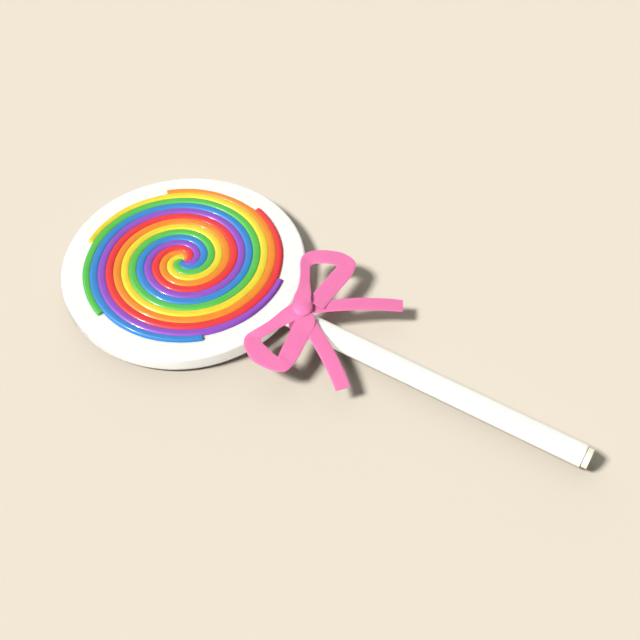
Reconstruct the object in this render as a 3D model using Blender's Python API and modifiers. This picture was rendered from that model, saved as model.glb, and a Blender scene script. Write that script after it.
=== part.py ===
"""Swirl lollipop, lying on its back: a white sugar disc with six coloured candy ropes wound on its
face, a round stick with an end plug, and a ribbon bow tied on the stick beside the disc.

Metres, +Z up. The origin is the middle of the disc's flat back. The stick runs along +X.
"""

import math

import bmesh
import bpy
from mathutils import Matrix, Vector

# Driving dimensions
DISC_RADIUS = 0.040
DISC_THICKNESS = 0.0066
DISC_TOP_ROUND = 0.0010
DISC_LOW_ROUND = 0.0020
DISC_EDGE_STEPS = 3
DISC_SIDES = 72

ROPE_COLOURS = {
    "red": (0.90, 0.030, 0.035),
    "orange": (0.95, 0.28, 0.02),
    "yellow": (0.95, 0.78, 0.02),
    "green": (0.08, 0.58, 0.06),
    "blue": (0.04, 0.28, 0.85),
    "purple": (0.30, 0.09, 0.62),
}
ROPE_PITCH = 0.00253  # from the middle of one rope to the middle of the next, along a radius
ROPE_HEIGHT = 0.0010  # from the disc's face to the top of a rope
ROPE_END_RADIUS = 0.0333  # where the middle of each rope is cut off
ROPE_START_RADIUS = 0.0007
ROPE_STEP = math.radians(10)
ROPE_PROFILE_STEPS = 6
FIRST_ROPE_END = math.radians(76.45)  # bearing of the red rope's cut end

STICK_RADIUS = 0.0035
STICK_HEIGHT = 0.0044  # of its middle line
STICK_END = 0.1394  # distance from the origin
STICK_INSET = 0.0016  # how far it reaches past the disc's rim before it is cut to fit
STICK_SIDES = 28
PLUG_RADIUS = 0.0031
PLUG_LENGTH = 0.0016
PLUG_EDGE = 0.0002

BOW_X = 0.0450
KNOT_RADIUS = 0.0027
KNOT_SQUASH = 0.57
KNOT_SIDE = 0.0010  # how far it sits from the stick's middle line
KNOT_HEIGHT = 0.0104
BAND_THICKNESS = 0.00045
BAND_WIDTH = 0.0036
BAND_SIDES = 32
RIBBON_THICKNESS = 0.0006
LOOP_RIBBON_WIDTH = 0.0056
TAIL_RIBBON_WIDTH = 0.0047

GAP = 0.0003  # left between pieces that touch
BAND_GAP = 0.0002  # between the stick and the turn of ribbon round it
SHARP_EDGE = math.radians(60)  # a bevel rounds only edges that turn more than this
MM = 0.001

# Middle lines of the ribbon: x, y, height in mm, the bank in degrees and the share of the full width
UPPER_LOOP = [
    (43.4, 3.9, 10.6, -8, 0.78),
    (40.5, 10.2, 10.1, -12, 0.66),
    (37.7, 15.2, 9.6, -8, 0.72),
    (36.2, 19.2, 9.2, -3, 0.84),
    (39.2, 23.0, 9.1, 0, 0.96),
    (44.4, 24.9, 9.0, 0, 1.02),
    (48.0, 22.4, 8.9, 3, 1.04),
    (48.4, 16.6, 9.1, 5, 1.04),
    (48.0, 10.2, 9.4, 4, 1.02),
    (48.2, 4.4, 9.7, 2, 0.95),
]
LOWER_LOOP = [
    (43.7, -2.2, 9.9, 8, 0.80),
    (41.2, -8.4, 9.5, 16, 0.68),
    (39.3, -12.9, 9.2, 10, 0.76),
    (39.0, -17.0, 9.0, 2, 0.92),
    (43.2, -20.0, 8.9, 0, 1.06),
    (47.8, -20.3, 8.8, 0, 1.04),
    (51.0, -17.6, 8.7, 0, 1.00),
    (50.6, -12.8, 8.9, 0, 1.03),
    (49.5, -7.4, 9.4, 0, 1.03),
    (48.7, -2.6, 9.7, 0, 0.95),
]
UPPER_TAIL = [
    (48.2, 4.0, 8.6, 0, 1),
    (50.7, 6.2, 8.5, 0, 1),
    (56.8, 11.4, 8.1, 0, 1),
    (63.8, 16.5, 7.3, 0, 1),
    (70.5, 20.6, 6.2, 0, 1),
]
LOWER_TAIL = [
    (49.2, -2.2, 8.6, 0, 1),
    (53.0, -4.5, 8.4, 0, 1),
    (56.6, -6.7, 8.2, 0, 1),
    (63.5, -11.3, 7.4, 0, 1),
    (70.1, -16.4, 6.2, 0, 1),
]


def clear_scene():
    for item in list(bpy.data.objects):
        bpy.data.objects.remove(item)


def new_collection(name):
    collection = bpy.data.collections.new(name)
    bpy.context.scene.collection.children.link(collection)
    return collection


def make_material(name, colour, roughness):
    material = bpy.data.materials.new(name)
    material.use_nodes = True
    shader = material.node_tree.nodes["Principled BSDF"]
    shader.inputs["Base Color"].default_value = (*colour, 1)
    shader.inputs["Roughness"].default_value = roughness
    shader.inputs["Metallic"].default_value = 0
    return material


def mesh_object(name, bm, collection, material=None, smooth_angle=math.radians(40)):
    mesh = bpy.data.meshes.new(name)
    bm.to_mesh(mesh)
    bm.free()
    mesh.shade_smooth()
    mesh.set_sharp_from_angle(angle=smooth_angle)
    item = bpy.data.objects.new(name, mesh)
    collection.objects.link(item)
    if material:
        mesh.materials.append(material)
    return item


def hide_guide(item):
    item.hide_render = True
    item.display_type = "WIRE"


def cylinder(radius, length, sides):
    bm = bmesh.new()
    bmesh.ops.create_cone(
        bm, cap_ends=True, segments=sides, radius1=radius, radius2=radius, depth=length
    )
    return bm


def make_disc(name, collection, grow=0.0, material=None):
    """The sugar disc. With grow it is the same shape, larger all round by that much."""
    bm = cylinder(DISC_RADIUS + grow, DISC_THICKNESS + 2 * grow, DISC_SIDES)
    share = bm.edges.layers.float.new("bevel_weight_edge")
    for edge in bm.edges:
        heights = [corner.co.z for corner in edge.verts]
        if max(heights) < 0:
            edge[share] = 1
        elif min(heights) > 0:
            edge[share] = DISC_TOP_ROUND / DISC_LOW_ROUND
    bmesh.ops.translate(bm, verts=bm.verts, vec=(0, 0, DISC_THICKNESS / 2))
    disc = mesh_object(name, bm, collection, material)
    rounding = disc.modifiers.new("Rounded edges", "BEVEL")
    rounding.width = DISC_LOW_ROUND + grow
    rounding.segments = DISC_EDGE_STEPS
    rounding.limit_method = "WEIGHT"
    return disc


def profile_curve(name, points, collection):
    """A closed outline that a curve sweeps along itself."""
    curve = bpy.data.curves.new(name, "CURVE")
    curve.dimensions = "2D"
    curve.fill_mode = "NONE"
    spline = curve.splines.new("POLY")
    spline.points.add(len(points) - 1)
    for point, (x, y) in zip(spline.points, points):
        point.co = (x, y, 0, 1)
    spline.use_cyclic_u = True
    item = bpy.data.objects.new(name, curve)
    collection.objects.link(item)
    hide_guide(item)
    return item


def swept_curve(name, profile, collection, material):
    curve = bpy.data.curves.new(name, "CURVE")
    curve.dimensions = "3D"
    curve.twist_mode = "Z_UP"
    curve.bevel_mode = "OBJECT"
    curve.bevel_object = profile
    curve.use_fill_caps = True
    curve.materials.append(material)
    item = bpy.data.objects.new(name, curve)
    collection.objects.link(item)
    return item


def rope_profile(collection):
    """Half round, one metre wide, so that a point's radius is the width of the rope there."""
    height = (ROPE_HEIGHT - GAP) / (ROPE_PITCH - GAP)
    points = []
    for step in range(ROPE_PROFILE_STEPS + 1):
        turn = math.pi * step / ROPE_PROFILE_STEPS
        points.append((-0.5 * math.cos(turn), height * math.sin(turn)))
    return profile_curve("rope_profile", points, collection)


def make_rope(name, end_bearing, profile, collection, material):
    """One arm of an Archimedean spiral. Its width shrinks towards the middle, where the six arms meet."""
    arms = len(ROPE_COLOURS)
    growth = ROPE_PITCH * arms / math.tau  # radius gained for each radian
    rope = swept_curve(name, profile, collection, material)
    spline = rope.data.splines.new("POLY")
    steps = round((ROPE_END_RADIUS - ROPE_START_RADIUS) / growth / ROPE_STEP)
    spline.points.add(steps)
    for step, point in enumerate(spline.points):
        radius = ROPE_START_RADIUS + (ROPE_END_RADIUS - ROPE_START_RADIUS) * step / steps
        bearing = end_bearing - (ROPE_END_RADIUS - radius) / growth
        width = ROPE_PITCH * radius / math.hypot(radius, growth)
        base = DISC_THICKNESS + GAP
        point.co = (radius * math.cos(bearing), radius * math.sin(bearing), base, 1)
        point.radius = width - GAP
    return rope


def make_stick(disc_cutter, collection, material):
    start = DISC_RADIUS - STICK_INSET
    bm = cylinder(STICK_RADIUS, STICK_END - start, STICK_SIDES)
    bmesh.ops.rotate(bm, verts=bm.verts, matrix=Matrix.Rotation(math.pi / 2, 3, "Y"))
    stick = mesh_object("stick", bm, collection, material)
    stick.location = ((start + STICK_END) / 2, 0, STICK_HEIGHT)
    cut = stick.modifiers.new("Fitted to the rim", "BOOLEAN")
    cut.operation = "DIFFERENCE"
    cut.solver = "EXACT"
    cut.object = disc_cutter
    return stick


def make_plug(collection, material):
    bm = cylinder(PLUG_RADIUS, PLUG_LENGTH, STICK_SIDES)
    bmesh.ops.rotate(bm, verts=bm.verts, matrix=Matrix.Rotation(math.pi / 2, 3, "Y"))
    plug = mesh_object("stick_plug", bm, collection, material)
    plug.location = (STICK_END + GAP + PLUG_LENGTH / 2, 0, STICK_HEIGHT)
    edge = plug.modifiers.new("Broken edges", "BEVEL")
    edge.width = PLUG_EDGE
    edge.limit_method = "ANGLE"
    edge.angle_limit = SHARP_EDGE
    return plug


def make_band(collection, material):
    """The turn of ribbon round the stick: a flat strip turned about X."""
    inner = STICK_RADIUS + BAND_GAP
    outer = inner + BAND_THICKNESS
    half = BAND_WIDTH / 2
    bm = bmesh.new()
    corners = [(-half, inner), (half, inner), (half, outer), (-half, outer)]
    verts = [bm.verts.new((x, 0, z)) for x, z in corners]
    for first, second in zip(verts, verts[1:] + verts[:1]):
        bm.edges.new((first, second))
    band = mesh_object("bow_band", bm, collection, material)
    band.location = (BOW_X, 0, STICK_HEIGHT)
    turn = band.modifiers.new("Turned", "SCREW")
    turn.axis = "X"
    turn.steps = BAND_SIDES
    turn.render_steps = BAND_SIDES
    turn.use_merge_vertices = True
    turn.merge_threshold = 0.00001
    return band


def make_knot(collection, material):
    bm = bmesh.new()
    bmesh.ops.create_uvsphere(bm, u_segments=16, v_segments=10, radius=KNOT_RADIUS)
    bmesh.ops.scale(bm, verts=bm.verts, vec=(1, 1, KNOT_SQUASH))
    knot = mesh_object("bow_knot", bm, collection, material)
    knot.location = (BOW_X, KNOT_SIDE, KNOT_HEIGHT)
    return knot


def make_ribbon(name, path, width, collection, guides, material):
    """A flat strip that follows a smooth line through the points of path."""
    across, thick = width / 2, RIBBON_THICKNESS / 2
    outline = [(-across, -thick), (-across, thick), (across, thick), (across, -thick)]
    profile = profile_curve(name + "_profile", outline, guides)
    ribbon = swept_curve(name, profile, collection, material)
    ribbon.data.resolution_u = 4
    spline = ribbon.data.splines.new("BEZIER")
    spline.use_smooth = False
    spline.bezier_points.add(len(path) - 1)
    for point, (x, y, z, bank, share) in zip(spline.bezier_points, path):
        point.co = Vector((x, y, z)) * MM
        point.handle_left_type = "AUTO"
        point.handle_right_type = "AUTO"
        point.tilt = math.radians(bank)
        point.radius = share
    return ribbon


def main():
    clear_scene()
    parts = new_collection("swirl_lollipop")
    guides = new_collection("guides")
    sugar = make_material("white_sugar", (0.94, 0.92, 0.86), 0.15)
    paper = make_material("stick_paper", (0.93, 0.92, 0.86), 0.55)
    plug_paper = make_material("plug_paper", (0.90, 0.88, 0.78), 0.60)
    satin = make_material("pink_ribbon", (0.95, 0.20, 0.42), 0.45)

    make_disc("disc", parts, material=sugar)
    profile = rope_profile(guides)
    for order, (colour, paint) in enumerate(ROPE_COLOURS.items()):
        candy = make_material(colour + "_candy", paint, 0.12)
        end_bearing = FIRST_ROPE_END + order * math.tau / len(ROPE_COLOURS)
        make_rope("rope_" + colour, end_bearing, profile, parts, candy)

    cutter = make_disc("rim_cutter", guides, grow=GAP)
    hide_guide(cutter)
    make_stick(cutter, parts, paper)
    make_plug(parts, plug_paper)
    make_band(parts, satin)
    make_knot(parts, satin)
    make_ribbon("bow_loop_upper", UPPER_LOOP, LOOP_RIBBON_WIDTH, parts, guides, satin)
    make_ribbon("bow_loop_lower", LOWER_LOOP, LOOP_RIBBON_WIDTH, parts, guides, satin)
    make_ribbon("bow_tail_upper", UPPER_TAIL, TAIL_RIBBON_WIDTH, parts, guides, satin)
    make_ribbon("bow_tail_lower", LOWER_TAIL, TAIL_RIBBON_WIDTH, parts, guides, satin)


main()
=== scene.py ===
import math

import bpy
import numpy as np
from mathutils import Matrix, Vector, noise


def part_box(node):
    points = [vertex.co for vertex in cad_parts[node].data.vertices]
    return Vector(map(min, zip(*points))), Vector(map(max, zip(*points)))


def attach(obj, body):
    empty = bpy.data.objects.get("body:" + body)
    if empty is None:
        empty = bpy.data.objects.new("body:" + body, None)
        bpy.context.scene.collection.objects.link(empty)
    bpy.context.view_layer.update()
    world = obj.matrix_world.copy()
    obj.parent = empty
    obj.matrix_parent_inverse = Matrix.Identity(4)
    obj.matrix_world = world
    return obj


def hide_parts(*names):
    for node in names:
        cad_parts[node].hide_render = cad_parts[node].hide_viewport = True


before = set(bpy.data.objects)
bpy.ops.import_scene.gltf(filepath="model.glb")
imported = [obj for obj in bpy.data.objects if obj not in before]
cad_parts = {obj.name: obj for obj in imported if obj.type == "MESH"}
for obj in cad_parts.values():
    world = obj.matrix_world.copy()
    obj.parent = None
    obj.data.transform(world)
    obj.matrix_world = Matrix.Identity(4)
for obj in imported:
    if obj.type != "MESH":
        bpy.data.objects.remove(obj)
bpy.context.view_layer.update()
mm = 0.001
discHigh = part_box("disc")[1]
stickLow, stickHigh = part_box("stick")
plugLow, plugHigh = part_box("stick_plug")
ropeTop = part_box("rope_red")[1].z
discRadius = discHigh.x
discTop = discHigh.z
stickRadius = (stickHigh.y - stickLow.y) / 2
stickHeight = (stickHigh.z + stickLow.z) / 2
print("frame loaded")


# small helpers for every piece

def linkObject(name, data):
    made = bpy.data.objects.new(name, data)
    bpy.context.scene.collection.objects.link(made)
    return made


def linkMesh(name, points, faces, runUv=None, sharpFrom=None):
    # runUv gives each point a place along and across its piece, for the material's grain
    mesh = bpy.data.meshes.new(name)
    mesh.from_pydata([tuple(p) for p in points], [], faces)
    mesh.validate()
    if runUv is not None:
        layer = mesh.uv_layers.new(name="run")
        corner = np.empty(len(mesh.loops), np.int32)
        mesh.loops.foreach_get("vertex_index", corner)
        layer.uv.foreach_set("vector", np.asarray(runUv, np.float32)[corner].ravel())
    mesh.shade_smooth()
    if sharpFrom is not None:  # edges that bend more than this many degrees stay sharp
        mesh.set_sharp_from_angle(angle=math.radians(sharpFrom))
    return linkObject(name, mesh)


def finishPiece(piece, material, node):
    piece.data.materials.append(material)
    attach(piece, "root")
    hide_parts(node)


def sweptFaces(rows, around, closedRun=False):
    # quads between rings of points, with a flat cap on each open end
    faces = []
    for row in range(rows if closedRun else rows - 1):
        following = (row + 1) % rows
        for step in range(around):
            after = (step + 1) % around
            faces.append((row * around + step, row * around + after,
                          following * around + after, following * around + step))
    if not closedRun:
        faces.append(tuple(reversed(range(around))))
        faces.append(tuple((rows - 1) * around + step for step in range(around)))
    return faces


def quarterTurn(steps):
    return [math.pi / 2 * step / steps for step in range(steps + 1)]


def softNoise(x, y, z=0.0):
    return noise.noise(Vector((x, y, z)))


def direction(bearing, height):
    # in degrees: round +Z from +X, and up from the floor
    bearing, height = math.radians(bearing), math.radians(height)
    level = math.cos(height)
    return Vector((math.cos(bearing) * level, math.sin(bearing) * level, math.sin(height)))


class Nodes:
    # a short way to add, join and set the nodes of a material or a world
    def __init__(self, owner, shader="Principled BSDF"):
        owner.use_nodes = True
        self.owner = owner
        self.tree = owner.node_tree
        self.shader = self.tree.nodes[shader]

    def add(self, kind, values=None, **settings):
        node = self.tree.nodes.new(kind)
        for key, value in settings.items():
            setattr(node, key, value)
        for key, value in (values or {}).items():
            node.inputs[key].default_value = value
        return node

    def join(self, source, output, target, place):
        self.tree.links.new(source.outputs[output], target.inputs[place])

    def set(self, values):
        for key, value in values.items():
            self.shader.inputs[key].default_value = value

    def mapping(self, scale):
        # three scales go along and across the piece itself, and a single one goes through plain space
        if isinstance(scale, tuple):
            place = self.add("ShaderNodeUVMap", uv_map="run")
            output = "UV"
        else:
            place = self.add("ShaderNodeTexCoord")
            output = "Object"
            scale = (scale, scale, scale)
        stretched = self.add("ShaderNodeMapping", {"Scale": scale})
        self.join(place, output, stretched, "Vector")
        return stretched

    def grain(self, scale, detail, roughness=0.5):
        grain = self.add("ShaderNodeTexNoise", {"Scale": 1.0, "Detail": detail, "Roughness": roughness})
        self.join(self.mapping(scale), "Vector", grain, "Vector")
        return grain

    def ramp(self, source, output, stops, target=None):
        # a range of colours, led to one of the shader's own sockets where target names it
        ramp = self.add("ShaderNodeValToRGB")
        elements = ramp.color_ramp.elements
        while len(elements) < len(stops):
            elements.new(0.5)
        for element, (place, colour) in zip(elements, stops):
            element.position = place
            element.color = (*colour, 1)
        self.join(source, output, ramp, "Fac")
        if target:
            self.join(ramp, "Color", self.shader, target)
        return ramp

    def bumps(self, *layers):
        # each layer lies on the one before: the node it follows, its output, strength and depth
        under = None
        for source, output, strength, depth in layers:
            bump = self.add("ShaderNodeBump", {"Strength": strength, "Distance": depth})
            self.join(source, output, bump, "Height")
            if under is not None:
                self.join(under, "Normal", bump, "Normal")
            under = bump
        self.join(under, "Normal", self.shader, "Normal")


def shade(colour, amount):
    return tuple(min(1.0, channel * amount) for channel in colour)


def greys(low, high, start=0.3, end=0.7):
    return [(start, (low, low, low)), (end, (high, high, high))]


# the white sugar disc

disc = {
    "topRound": 1.0 * mm,
    "lowRound": 2.0 * mm,
    "edgeSteps": 10,
    "sides": 288,
    "rings": 14,
    "backRings": 4,
    "unevenTop": 0.03 * mm,
    "topWaves": 160,
    "unevenRim": 0.08 * mm,
    "rimWaves": 2.2,
    "rimWavesUp": 150,
    "flatBack": 2 * mm,  # below this height the unevenness fades out
    "dimple": 0.02 * mm,
    "white": (0.985, 0.975, 0.950),
    "milky": (0.960, 0.945, 0.905),
    "cloudScale": 120.0,
    "rippleScale": 420.0,
    "rippleBump": (0.08, 0.07 * mm),  # strength and depth
    "pitScale": 900.0,
    "pitBump": (0.04, 0.04 * mm),
    "roughness": (0.22, 0.36),
}


def sugarMaterial():
    # opaque white cast sugar: faint milky clouds, shallow pits left by bubbles, soft gloss
    n = Nodes(bpy.data.materials.new("whiteSugar"))
    clouds = n.grain(disc["cloudScale"], 3.0)
    n.ramp(clouds, "Fac", [(0.3, disc["milky"]), (0.7, disc["white"])], "Base Color")
    ripples = n.grain(disc["rippleScale"], 3.0)
    cells = n.add("ShaderNodeTexVoronoi", {"Scale": 1.0, "Randomness": 1.0})
    n.join(n.mapping(disc["pitScale"]), "Vector", cells, "Vector")
    pits = n.ramp(cells, "Distance", greys(0.0, 1.0, 0.04, 0.16))
    n.bumps((pits, "Color", *disc["pitBump"]), (ripples, "Fac", *disc["rippleBump"]))
    n.ramp(ripples, "Fac", greys(*disc["roughness"]), "Roughness")
    n.set({"Coat Weight": 0.35, "Coat Roughness": 0.12, "IOR": 1.48})
    return n.owner


def discOutline():
    # from near the middle of the top, out over the rounded rim and in along the back
    upper, lower = disc["topRound"], disc["lowRound"]
    turns = quarterTurn(disc["edgeSteps"])
    flat = discRadius - upper
    outline = [(flat * step / disc["rings"], discTop) for step in range(1, disc["rings"])]
    outline += [(flat + upper * math.sin(turn), discTop - upper + upper * math.cos(turn)) for turn in turns]
    flat = discRadius - lower
    outline += [(flat + lower * math.cos(turn), lower - lower * math.sin(turn)) for turn in turns]
    outline += [(flat * step / disc["backRings"], 0.0) for step in range(disc["backRings"] - 1, 0, -1)]
    return outline


def makeDisc():
    outline = discOutline()
    sides, rows = disc["sides"], len(outline)
    points = []
    for radius, height in outline:
        free = min(1.0, height / disc["flatBack"])
        nearRim = (radius / discRadius) ** 4
        for step in range(sides):
            bearing = math.tau * step / sides
            x, y = math.cos(bearing), math.sin(bearing)
            wide = softNoise(x * disc["rimWaves"], y * disc["rimWaves"], height * disc["rimWavesUp"])
            lift = softNoise(x * radius * disc["topWaves"], y * radius * disc["topWaves"], 3.0)
            out = radius + disc["unevenRim"] * wide * nearRim * free
            points.append((x * out, y * out, height + disc["unevenTop"] * (lift - 0.5) * free))
    faces = sweptFaces(rows, sides)[:-2]
    middleTop, middleBack = len(points), len(points) + 1
    points += [(0.0, 0.0, discTop - disc["dimple"]), (0.0, 0.0, 0.0)]
    for step in range(sides):
        after = (step + 1) % sides
        faces.append((middleTop, after, step))
        faces.append((middleBack, (rows - 1) * sides + step, (rows - 1) * sides + after))
    faces = [tuple(reversed(face)) for face in faces]
    finishPiece(linkMesh("sugarDisc", points, faces), sugarMaterial(), "disc")


makeDisc()
print("sugar disc made")


# the six candy ropes

ropes = {
    "colours": {  # in order round the disc
        "red": (0.865, 0.035, 0.042),
        "orange": (0.915, 0.277, 0.017),
        "yellow": (0.900, 0.712, 0.036),
        "green": (0.097, 0.552, 0.079),
        "blue": (0.034, 0.252, 0.645),
        "purple": (0.297, 0.083, 0.565),
    },
    "pitch": 2.53 * mm,
    "startRadius": 0.12 * mm,
    "startTaper": 0.55,
    "plainBelow": 0.3,  # the thinnest part of a rope, at the middle of the disc, has a plain flat top
    "plainTop": 0.9,
    "endRadius": 33.3 * mm,
    "firstEnd": math.radians(76.45),
    "bearingStep": math.radians(2.2),
    "endCuts": [0.35, 0.7, 0.9, 1.0],  # closer sections in the last step before the cut end
    "endRound": 0.16 * mm,
    "endNarrowing": 0.6,
    "short": {"green": math.radians(2.4)},  # how much sooner a rope is cut off
    "crossSteps": 16,
    "underside": 0.004 * mm,  # how far a rope's underside is above the disc
    "thinnest": 0.1 * mm,
    "groove": 0.60 * mm,  # height of the seam between two ropes above the disc
    "bareDrop": 0.8,  # how much of that height is lost on a side with no rope beside it
    "flatness": 2.7,
    "seam": 0.003 * mm,
    "squeeze": 0.24,  # how much of its outer half a rope loses towards its end
    "squeezeTurn": math.radians(50),
    "bareTurn": math.radians(8),
    "unevenHeight": 0.045 * mm,
    "heightWaves": 130,
    "unevenPlace": 0.10 * mm,
    "placeWaves": 95,
    "steadyWithin": 12 * mm,  # nearer the middle than this, a rope wanders less
    "sharpFrom": 62,
    "streakScale": (90.0, 2600.0, 1.0),
    "streakBump": (0.10, 0.05 * mm),
    "cloudScale": 260.0,
    "cloudBump": (0.14, 0.10 * mm),
    "roughness": (0.44, 0.56),
    "coat": 0.5,
}


def candyMaterial(name, colour):
    # pulled sugar: satin streaks along the rope under a clear glossy skin
    n = Nodes(bpy.data.materials.new(name))
    streaks = n.grain(ropes["streakScale"], 3.0)
    clouds = n.grain(ropes["cloudScale"], 2.0)
    both = n.add("ShaderNodeMix", {"Factor": 0.45}, data_type="FLOAT")
    n.join(streaks, "Fac", both, 2)
    n.join(clouds, "Fac", both, 3)
    tones = [(0.30, shade(colour, 0.90)), (0.52, colour), (0.74, shade(colour, 1.07))]
    n.ramp(both, 0, tones, "Base Color")
    n.ramp(streaks, "Fac", greys(*ropes["roughness"], 0.25, 0.75), "Roughness")
    n.bumps((streaks, "Fac", *ropes["streakBump"]), (clouds, "Fac", *ropes["cloudBump"]))
    n.set({"Coat Weight": ropes["coat"], "Coat Roughness": 0.16, "Coat IOR": 1.5})
    n.set({"IOR": 1.48, "Specular IOR Level": 0.6})
    return n.owner


def ropeStations(cutRadius, growth):
    # distances from the middle of the disc, one for each section of the rope
    turned = (ropes["endRadius"] - ropes["startRadius"]) / growth
    count = math.ceil(turned / ropes["bearingStep"])
    gap = (cutRadius - ropes["startRadius"]) / count
    stations = [ropes["startRadius"] + gap * step for step in range(count)]
    return stations + [stations[-1] + gap * cut for cut in ropes["endCuts"]]


def ropeHeight(across, top, bare):
    # flat along the middle, rounded off towards the seam on each side, and further down on a bare side
    low = ropes["groove"] * (1 - ropes["bareDrop"] * bare)
    return low + (top - low) * (1 - abs(across) ** ropes["flatness"])


def makeRope(order, colour):
    arms = len(ropes["colours"])
    growth = ropes["pitch"] * arms / math.tau
    halfTurn = math.pi / arms  # half of the angle that one arm takes up
    endBearing = ropes["firstEnd"] + order * math.tau / arms
    cutRadius = ropes["endRadius"] - growth * ropes["short"].get(colour, 0.0)
    stations = ropeStations(cutRadius, growth)
    points, run, along = [], [], 0.0
    for place, radius in enumerate(stations):
        if place:
            along += math.hypot(radius, growth) * (radius - stations[place - 1]) / growth
        turnLeft = (ropes["endRadius"] - radius) / growth
        bearing = endBearing - turnLeft
        lean = radius * radius / (radius * radius + growth * growth)
        width = ropes["pitch"] * radius / math.hypot(radius, growth)
        fromEnd = (cutRadius - radius) / growth * cutRadius
        rounding = min(1.0, fromEnd / ropes["endRound"])
        drop = ropes["endRound"] * (1 - math.sqrt(max(0.0, 1 - (1 - rounding) ** 2)))
        small = min(1.0, width / ropes["pitch"]) ** ropes["startTaper"]
        wave = softNoise(along * ropes["heightWaves"], order * 7.3) - 0.5
        top = (ropeTop - discTop + ropes["unevenHeight"] * wave) * small
        bare = min(1.0, max(0.0, (2 * halfTurn - turnLeft) / ropes["bareTurn"]))
        ring = []
        for step in range(ropes["crossSteps"] + 1):
            across = 1 - 2 * step / ropes["crossSteps"]
            height = top * ropes["plainTop"]
            if small > ropes["plainBelow"]:
                height = ropeHeight(across, max(top - drop, ropes["thinnest"]), bare if across < 0 else 0.0)
            ring.append((across, max(ropes["underside"], height)))
        ring += [(across, ropes["underside"]) for across in (-1.0, 0.0, 1.0)]
        shrink = max(0.2, 1 - (ropes["seam"] + drop * ropes["endNarrowing"]) * 2 / width)
        ending = max(0.0, 1 - turnLeft / ropes["squeezeTurn"])
        for across, height in ring:
            side = across * shrink
            if side < 0:
                side *= 1 - 2 * ropes["squeeze"] * ending
            theta = bearing + side * (1 - lean) * halfTurn
            far = radius - side * growth * lean * halfTurn
            x, y = far * math.cos(theta), far * math.sin(theta)
            shift = ropes["unevenPlace"] * min(1.0, far / ropes["steadyWithin"])
            x += shift * softNoise(x * ropes["placeWaves"], y * ropes["placeWaves"], 1.7)
            y += shift * softNoise(x * ropes["placeWaves"], y * ropes["placeWaves"], 9.1)
            points.append((x, y, discTop + height))
            run.append((along + order * 0.5, across * width / 2))  # each rope has its own stretch of grain
    faces = sweptFaces(len(stations), len(ring))
    piece = linkMesh("candyRope" + colour.capitalize(), points, faces, run, ropes["sharpFrom"])
    material = candyMaterial(colour + "Candy", ropes["colours"][colour])
    finishPiece(piece, material, "rope_" + colour)


for order, colour in enumerate(ropes["colours"]):
    makeRope(order, colour)
print("candy ropes made")


# the paper stick and its plug

stick = {
    "start": discRadius + 0.12 * mm,
    "sides": 72,
    "step": 0.8 * mm,
    "waves": 60,
    "edgeRound": 0.22 * mm,
    "edgeSteps": 5,
    "sharpFrom": 50,
    "seamPitch": 24 * mm,  # the wound paper's edge goes round once in this length
    "seamDepth": 0.035 * mm,
    "seamWidth": 0.45 * mm,
    "seamStep": 0.4,  # the low step beside the groove, as a share of its depth
    "seamFade": 2 * mm,
    "uneven": 0.03 * mm,
    "light": (0.955, 0.945, 0.905),
    "dark": (0.925, 0.912, 0.862),
    "roughness": 0.42,
}
plug = {
    "gap": 0.02 * mm,
    "sides": 64,
    "step": 0.3 * mm,
    "waves": 60,
    "edgeRound": 0.28 * mm,
    "edgeSteps": 5,
    "sharpFrom": 50,
    "uneven": 0.02 * mm,
    "light": (0.900, 0.875, 0.715),
    "dark": (0.880, 0.850, 0.675),
    "roughness": 0.60,
}
paper = {
    "fibreScale": (700.0, 5200.0, 1.0),
    "fibreBump": (0.35, 0.05 * mm),
    "mottleScale": 300.0,
    "mottleBump": (0.25, 0.08 * mm),
    "rougher": 0.14,
}


def paperMaterial(name, settings):
    # rolled paper: long fibres round the roll and a slight mottle
    n = Nodes(bpy.data.materials.new(name))
    fibres = n.grain(paper["fibreScale"], 4.0, 0.6)
    mottle = n.grain(paper["mottleScale"], 3.0)
    n.ramp(mottle, "Fac", [(0.30, settings["dark"]), (0.68, settings["light"])], "Base Color")
    n.bumps((fibres, "Fac", *paper["fibreBump"]), (mottle, "Fac", *paper["mottleBump"]))
    smooth = settings["roughness"]
    n.ramp(fibres, "Fac", greys(smooth, smooth + paper["rougher"]), "Roughness")
    return n.owner


def woundSeam(along, turned):
    # how deep the paper is at its wound edge: a fine groove with a low step beside it
    place = (along / stick["seamPitch"] - turned + 0.5) % 1.0 - 0.5
    side = place * stick["seamPitch"]
    groove = math.exp(-(side / stick["seamWidth"]) ** 2)
    lowStep = stick["seamStep"] / 2 * (1 - math.tanh(side / stick["seamWidth"] * 2))
    return stick["seamDepth"] * (groove + lowStep * math.exp(-abs(side) / stick["seamFade"]))


def roundRod(name, start, end, radius, settings, seam=None):
    # a rod along X: rows of rings, closer together at its rounded ends
    edge, sides = settings["edgeRound"], settings["sides"]
    turns = quarterTurn(settings["edgeSteps"])
    length = end - start - 2 * edge
    count = max(2, round(length / settings["step"]))
    rows = [(start + edge - edge * math.cos(turn), radius - edge + edge * math.sin(turn)) for turn in turns]
    rows += [(start + edge + length * step / count, radius) for step in range(1, count)]
    rows += [(end - edge + edge * math.sin(turn), radius - edge + edge * math.cos(turn)) for turn in turns]
    points, run = [], []
    for x, ringRadius in rows:
        rounded = ringRadius < radius - 0.01 * mm
        for step in range(sides):
            angle = math.tau * step / sides
            wave = settings["uneven"] * (softNoise(x * settings["waves"], angle, 2.0) - 0.5)
            ring = ringRadius + wave * ringRadius / radius
            if seam and not rounded:
                ring -= seam(x, step / sides)
            points.append((x, ring * math.cos(angle), stickHeight + ring * math.sin(angle)))
            run.append((x, angle * radius))
    return linkMesh(name, points, sweptFaces(len(rows), sides), run, settings["sharpFrom"])


def makeStick():
    rod = roundRod("paperStick", stick["start"], stickHigh.x, stickRadius, stick, woundSeam)
    finishPiece(rod, paperMaterial("stickPaper", stick), "stick")


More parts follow.
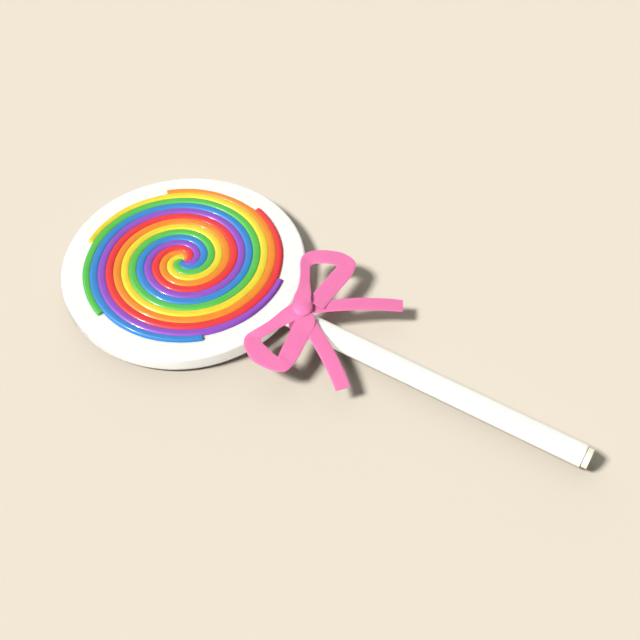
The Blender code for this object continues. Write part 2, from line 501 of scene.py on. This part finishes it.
def makePlug():
    radius = (plugHigh.y - plugLow.y) / 2
    rod = roundRod("stickPlug", stickHigh.x + plug["gap"], plugHigh.x, radius, plug)
    finishPiece(rod, paperMaterial("plugPaper", plug), "stick_plug")


makeStick()
makePlug()
print("stick and plug made")


# the ribbon bow

ribbon = {
    "thick": 0.42 * mm,
    "edgeThick": 0.50 * mm,  # the woven selvedge
    "edgeFrom": 0.8,  # where it begins, from 0 in the middle of the ribbon to 1 at its edge
    "roundFrom": 0.96,
    "across": 12,
    "stepsBetween": 12,  # sections between two points of an edge
    "sharpFrom": 48,
    "ripple": 0.06 * mm,
    "rippleWaves": 160,
    "rippleAcross": 1.6,
    "loopGather": 0.06 * mm,
    "tailGather": 0.05 * mm,
    "gathers": 2.5,
    "gatherLength": 4.5 * mm,
    "colour": (0.905, 0.215, 0.462),
    "ribPitch": 0.28 * mm,
    "ribBump": (0.16, 0.03 * mm),
    "unevenScale": (160.0, 900.0, 1.0),
    "unevenBump": (0.10, 0.06 * mm),
    "roughness": (0.46, 0.60),
    "sheen": 0.14,
}

# each ribbon is two edges, point by point from the knot: x, y, height in mm
upperLoop = {
    "outer": [(41.8, 0.8, 10.8), (40.9, 3.4, 10.9), (40.3, 6.0, 10.7), (38.9, 9.5, 10.4),
              (37.0, 13.1, 10.1), (34.5, 17.1, 9.7), (33.6, 20.2, 9.4), (34.5, 22.8, 9.3),
              (37.1, 25.2, 9.2), (40.2, 26.9, 9.1), (44.6, 28.2, 8.9), (49.5, 26.9, 8.7),
              (51.2, 22.0, 8.6), (51.2, 16.9, 8.8), (50.8, 8.9, 8.9), (50.9, 4.8, 9.2)],
    "inner": [(46.9, 3.2, 10.9), (45.4, 6.1, 10.7), (44.1, 8.1, 10.2), (41.9, 11.1, 9.7),
              (40.0, 14.2, 9.4), (38.4, 16.9, 9.1), (38.1, 18.5, 8.9), (39.0, 19.8, 8.9),
              (40.5, 20.7, 9.0), (42.6, 21.7, 9.1), (44.7, 22.3, 9.1), (45.4, 22.1, 9.1),
              (45.3, 20.1, 9.1), (45.2, 15.4, 9.3), (44.9, 7.5, 9.5), (44.8, 4.3, 9.8)],
}
lowerLoop = {
    "outer": [(44.6, 3.6, 10.3), (42.3, 1.2, 10.4), (40.8, -2.6, 10.4), (39.3, -8.5, 10.0),
              (37.3, -13.4, 9.7), (36.0, -16.2, 9.2), (36.7, -18.9, 9.1), (39.1, -21.3, 9.0),
              (43.0, -23.3, 8.9), (48.7, -23.2, 8.7), (52.8, -21.6, 8.5), (53.6, -19.3, 8.4),
              (53.7, -17.5, 8.3), (53.6, -14.1, 8.5), (52.4, -6.4, 8.8), (51.5, -1.5, 9.2),
              (48.6, 1.6, 9.6)],
    "inner": [(47.6, 1.2, 9.7), (47.1, -1.5, 9.6), (45.8, -3.7, 9.4), (42.9, -8.7, 8.8),
              (41.3, -12.3, 8.7), (40.2, -14.8, 8.6), (40.7, -15.5, 8.7), (41.6, -16.1, 8.8),
              (43.5, -16.8, 8.9), (46.0, -17.7, 8.9), (47.8, -18.0, 8.9), (48.4, -18.0, 8.9),
              (48.1, -16.5, 8.8), (47.6, -13.8, 9.0), (46.3, -7.0, 9.2), (45.6, -2.6, 9.5),
              (45.0, 0.4, 9.8)],
}
upperTail = {
    "outer": [(44.4, 2.6, 9.0), (47.0, 5.2, 8.9), (51.0, 9.1, 8.6), (53.7, 11.7, 8.4),
              (56.8, 14.4, 8.1), (59.8, 16.6, 7.7), (63.2, 19.0, 7.2), (66.2, 21.0, 6.7),
              (69.4, 22.7, 6.2)],
    "inner": [(44.4, -1.2, 9.0), (46.7, 0.4, 8.9), (50.4, 3.1, 8.7), (53.5, 5.7, 8.5),
              (56.8, 8.3, 8.2), (60.3, 11.0, 7.8), (64.5, 14.0, 7.3), (68.0, 16.2, 6.8),
              (71.6, 18.5, 6.2)],
}
lowerTail = {
    "outer": [(44.6, -2.2, 9.0), (47.9, -4.3, 8.9), (52.5, -7.0, 8.6), (56.0, -9.2, 8.3),
              (59.4, -11.4, 7.9), (62.7, -13.7, 7.4), (65.9, -16.0, 6.8), (68.6, -18.2, 6.2)],
    "inner": [(46.6, 2.0, 9.0), (49.5, 0.6, 8.9), (53.6, -2.1, 8.7), (57.1, -4.1, 8.4),
              (60.7, -6.3, 8.0), (64.3, -8.8, 7.5), (68.0, -11.6, 6.9), (71.6, -14.6, 6.2)],
}


def ribbonMaterial():
    # satin: close crosswise ribs and a soft sheen
    n = Nodes(bpy.data.materials.new("pinkRibbon"))
    uneven = n.grain(ribbon["unevenScale"], 3.0)
    tones = [(0.3, shade(ribbon["colour"], 0.98)), (0.7, shade(ribbon["colour"], 1.02))]
    n.ramp(uneven, "Fac", tones, "Base Color")
    ribs = n.add("ShaderNodeTexWave", {"Scale": 0.05, "Distortion": 0.0},
                 wave_type="BANDS", bands_direction="X", wave_profile="SIN")
    n.join(n.mapping((math.tau / ribbon["ribPitch"], 0.0, 0.0)), "Vector", ribs, "Vector")
    n.bumps((ribs, "Fac", *ribbon["ribBump"]), (uneven, "Fac", *ribbon["unevenBump"]))
    n.ramp(uneven, "Fac", greys(*ribbon["roughness"]), "Roughness")
    n.set({"Sheen Weight": ribbon["sheen"], "Sheen Roughness": 0.4, "Sheen Tint": (1.0, 0.75, 0.86, 1.0)})
    n.set({"Specular IOR Level": 0.35})
    return n.owner


satin = ribbonMaterial()


def smoothLine(points, count):
    # count places along a smooth line through the points
    given = [Vector(p) * mm for p in points]
    given = [given[0] * 2 - given[1]] + given + [given[-1] * 2 - given[-2]]
    line = []
    for step in range(count + 1):
        place = (len(points) - 1) * step / count
        first = min(int(place), len(points) - 2)
        t = place - first
        a, b, c, d = given[first:first + 4]
        line.append(0.5 * ((2 * b) + (c - a) * t + (2 * a - 5 * b + 4 * c - d) * t * t
                           + (3 * b - a - 3 * c + d) * t * t * t))
    return line


def halfThickness(edge):
    # edge is 0 in the middle of the ribbon and 1 at its edge
    selvedge = max(0.0, (edge - ribbon["edgeFrom"]) / (1 - ribbon["edgeFrom"]))
    thick = ribbon["thick"] + (ribbon["edgeThick"] - ribbon["thick"]) * selvedge
    past = max(0.0, (edge - ribbon["roundFrom"]) / (1 - ribbon["roundFrom"]))
    return thick / 2 * max(0.25, math.sqrt(max(0.0, 1 - past ** 2)))


def ribbonMesh(name, edges, seed, gather):
    count = ribbon["stepsBetween"] * (len(edges["outer"]) - 1)
    outer, inner = smoothLine(edges["outer"], count), smoothLine(edges["inner"], count)
    across = ribbon["across"]
    shares = [step / across for step in range(across + 1)]
    grid = [[a.lerp(b, u) for u in shares] for a, b in zip(outer, inner)]
    middle = [(a + b) / 2 for a, b in zip(outer, inner)]
    points, run, length = [], [], 0.0
    for place, row in enumerate(grid):
        before, after = max(0, place - 1), min(count, place + 1)
        length += (middle[place] - middle[before]).length
        width = (row[-1] - row[0]).length
        top, under = [], []
        for step, u in enumerate(shares):
            wide = row[min(across, step + 1)] - row[max(0, step - 1)]
            normal = (grid[after][step] - grid[before][step]).cross(wide)
            normal = normal.normalized() if normal.length > 1e-12 else Vector((0, 0, 1))
            if normal.z < 0:
                normal = -normal
            fold = math.cos(u * math.tau * ribbon["gathers"]) * math.exp(-length / ribbon["gatherLength"])
            ripple = softNoise(length * ribbon["rippleWaves"], u * ribbon["rippleAcross"], seed)
            centre = row[step] + normal * (ribbon["ripple"] * ripple + gather * fold)
            half = halfThickness(abs(2 * u - 1))
            top.append(centre + normal * half)
            under.append(centre - normal * half)
        points += top + under[::-1]
        run += [(length, u * width) for u in shares + shares[::-1]]
    return linkMesh(name, points, sweptFaces(count + 1, 2 * (across + 1)), run, ribbon["sharpFrom"])


def makeRibbons():
    for name, edges, node, seed, gather in (
        ("bowLoopUpper", upperLoop, "bow_loop_upper", 1.0, ribbon["loopGather"]),
        ("bowLoopLower", lowerLoop, "bow_loop_lower", 4.0, ribbon["loopGather"]),
        ("bowTailUpper", upperTail, "bow_tail_upper", 7.0, ribbon["tailGather"]),
        ("bowTailLower", lowerTail, "bow_tail_lower", 9.0, ribbon["tailGather"]),
    ):
        finishPiece(ribbonMesh(name, edges, seed, gather), satin, node)


knot = {
    "centre": Vector((45.3, 1.0, 9.95)) * mm,
    "radius": Vector((3.2, 3.2, 1.4)) * mm,
    "leadIn": Vector((-0.517, 0.856, 0)),  # the upper loop's first strand runs down into it from this side
    "leadStretch": 0.8,
    "columns": 72,
    "rows": 48,
    "pleats": 2.5,
    "pleatDepth": 0.04 * mm,
}


def makeKnot():
    # a ball of ribbon wound round the bow, its pleats running the same way round
    points, run = [], []
    columns, rows = knot["columns"], knot["rows"]
    for row in range(rows + 1):
        polar = math.pi * (row + 0.02) / (rows + 0.04)
        wide = math.sin(polar)
        for column in range(columns):
            turn = math.tau * column / columns
            way = Vector((wide * math.cos(turn), math.cos(polar), wide * math.sin(turn)))
            winding = way.y * math.pi * knot["pleats"] + 0.6 * math.sin(turn + 0.8)
            pleat = math.cos(winding) + softNoise(way.x * 2.2, way.y * 3.0, way.z * 2.2) - 1
            grow = 1 + knot["pleatDepth"] * pleat * wide / knot["radius"].x
            place = way * knot["radius"] * grow
            place += knot["leadIn"] * max(0.0, place.dot(knot["leadIn"])) * knot["leadStretch"]
            points.append(knot["centre"] + place)
            run.append((turn * knot["radius"].x, way.y * knot["radius"].y))
    piece = linkMesh("bowKnot", points, sweptFaces(rows + 1, columns), run)
    finishPiece(piece, satin, "bow_knot")


band = {
    "inner": stickRadius + 0.03 * mm,
    "thick": 0.42 * mm,
    "edgeThin": 0.25,
    "edgeFrom": 0.85,
    "half": 1.8 * mm,
    "middle": 45.0 * mm,
    "sides": 96,
    "across": 10,
    "sharpFrom": 50,
    "narrowing": 0.18,  # where the knot pulls on it, on top of the stick
    "lift": 0.25 * mm,
    "fold": 0.06 * mm,
    "folds": 7.0,
}


def makeBand():
    # the turn of ribbon round the stick, lifted a little where the knot pulls on it
    shares = [2 * place / band["across"] - 1 for place in range(band["across"] + 1)]
    ring = []
    for u in shares:
        edge = max(0.0, abs(u) - band["edgeFrom"]) / (1 - band["edgeFrom"])
        ring.append((u, band["thick"] * (1 - band["edgeThin"] * edge)))
    ring += [(u, 0.0) for u in reversed(shares)]
    points, run = [], []
    for step in range(band["sides"]):
        angle = math.tau * step / band["sides"]
        pull = max(0.0, math.sin(angle)) ** 6
        for u, rise in ring:
            radius = band["inner"] + rise
            if rise > 0:
                fold = band["fold"] * math.cos(u * band["folds"]) * (0.3 + 0.7 * pull)
                radius += fold + band["lift"] * pull
            x = band["middle"] + u * band["half"] * (1 - band["narrowing"] * pull)
            points.append((x, radius * math.cos(angle), stickHeight + radius * math.sin(angle)))
            run.append((angle * band["inner"], u * band["half"]))
    faces = sweptFaces(band["sides"], len(ring), closedRun=True)
    piece = linkMesh("bowBand", points, faces, run, band["sharpFrom"])
    finishPiece(piece, satin, "bow_band")


makeRibbons()
makeKnot()
makeBand()
print("ribbon bow made")


# floor, light and camera

floor = {"side": 6.0, "colour": (0.815, 0.730, 0.606), "grain": 900.0}


def floorMaterial():
    # a plain matt surface with hardly any grain
    n = Nodes(bpy.data.materials.new("paleTable"))
    tones = [(0.3, shade(floor["colour"], 0.998)), (0.7, shade(floor["colour"], 1.002))]
    n.ramp(n.grain(floor["grain"], 2.0), "Fac", tones, "Base Color")
    n.set({"Roughness": 0.95, "Specular IOR Level": 0.1})
    return n.owner


def makeFloor():
    half = floor["side"] / 2
    corners = [(-half, -half, 0), (half, -half, 0), (half, half, 0), (-half, half, 0)]
    piece = linkMesh("table", corners, [(0, 1, 2, 3)])
    piece.data.materials.append(floorMaterial())


light = {
    # each lamp: where its light comes from round +Z from +X, how high, its strength and its width
    "key": (227.0, 50.0, 3.46, 14.0),
    "gleam": (226.9, 51.0, 3.0, 7.0),  # only for the shine, beside the key
    "soft": (135.0, 38.0, 0.74, 80.0),  # a wide lamp behind, for the soft shade on the near side
    "frontFill": (302.0, 1.5, 2.5, 3.0),  # the two low fills cast no shadows of their own
    "backFill": (83.0, 1.5, 2.0, 3.0),
    "fillColour": (1.0, 0.955, 0.89),
    "skyColour": (0.950, 1.0, 0.985),
    "skyStrength": 0.08,
    "backdrop": (0.800, 0.725, 0.596),  # past the edge of the floor
    "backdropShine": 0.5,  # how much of it the glossy surfaces pick up
}


def addSun(name):
    bearing, height, strength, spread = light[name]
    lamp = bpy.data.lights.new(name, "SUN")
    lamp.energy = strength
    lamp.angle = math.radians(spread)
    lamp.cycles.max_bounces = 0
    sun = linkObject(name, lamp)
    sun.rotation_euler = direction(bearing, height).to_track_quat("Z", "Y").to_euler()
    sun.visible_glossy = name == "gleam"
    sun.visible_diffuse = name != "gleam"
    return lamp


def makeLamps():
    addSun("key")
    addSun("gleam")
    addSun("soft").color = light["skyColour"]
    for name in ("frontFill", "backFill"):
        fill = addSun(name)
        fill.color = light["fillColour"]
        fill.use_shadow = False


def makeWorld():
    # a dim sky that lights the scene, and the pale backdrop that shows and shines instead of it
    world = bpy.data.worlds.new("studio")
    bpy.context.scene.world = world
    n = Nodes(world, "Background")
    n.set({"Color": (*light["skyColour"], 1), "Strength": light["skyStrength"]})
    backdrop = n.add("ShaderNodeBackground", {"Color": (*light["backdrop"], 1)})
    rays = n.add("ShaderNodeLightPath")
    share = n.add("ShaderNodeMath", {1: light["backdropShine"]}, operation="MULTIPLY_ADD")
    n.join(rays, "Is Glossy Ray", share, 0)
    n.join(rays, "Is Camera Ray", share, 2)
    both = n.add("ShaderNodeMixShader")
    n.join(share, 0, both, 0)
    n.join(n.shader, 0, both, 1)
    n.join(backdrop, 0, both, 2)
    n.join(both, 0, n.tree.nodes["World Output"], 0)
    bpy.context.scene.view_settings.view_transform = "Standard"


camera = {
    "lookAt": Vector((51.5, 1.3, 7.6)) * mm,
    "bearing": 301.1,  # where it stands, round +Z from +X
    "height": 51.8,
    "distance": 284.5 * mm,
    "lens": 51.47,
    "sensor": 36.0,
}


def makeCamera():
    lens = bpy.data.cameras.new("camera")
    lens.lens = camera["lens"]
    lens.sensor_width = camera["sensor"]
    lens.clip_start = 0.01
    eye = linkObject("camera", lens)
    away = direction(camera["bearing"], camera["height"])
    eye.location = camera["lookAt"] + away * camera["distance"]
    eye.rotation_euler = away.to_track_quat("Z", "Y").to_euler()
    bpy.context.scene.camera = eye


makeFloor()
makeLamps()
makeWorld()
makeCamera()
print("stage made")

bpy.context.view_layer.update()
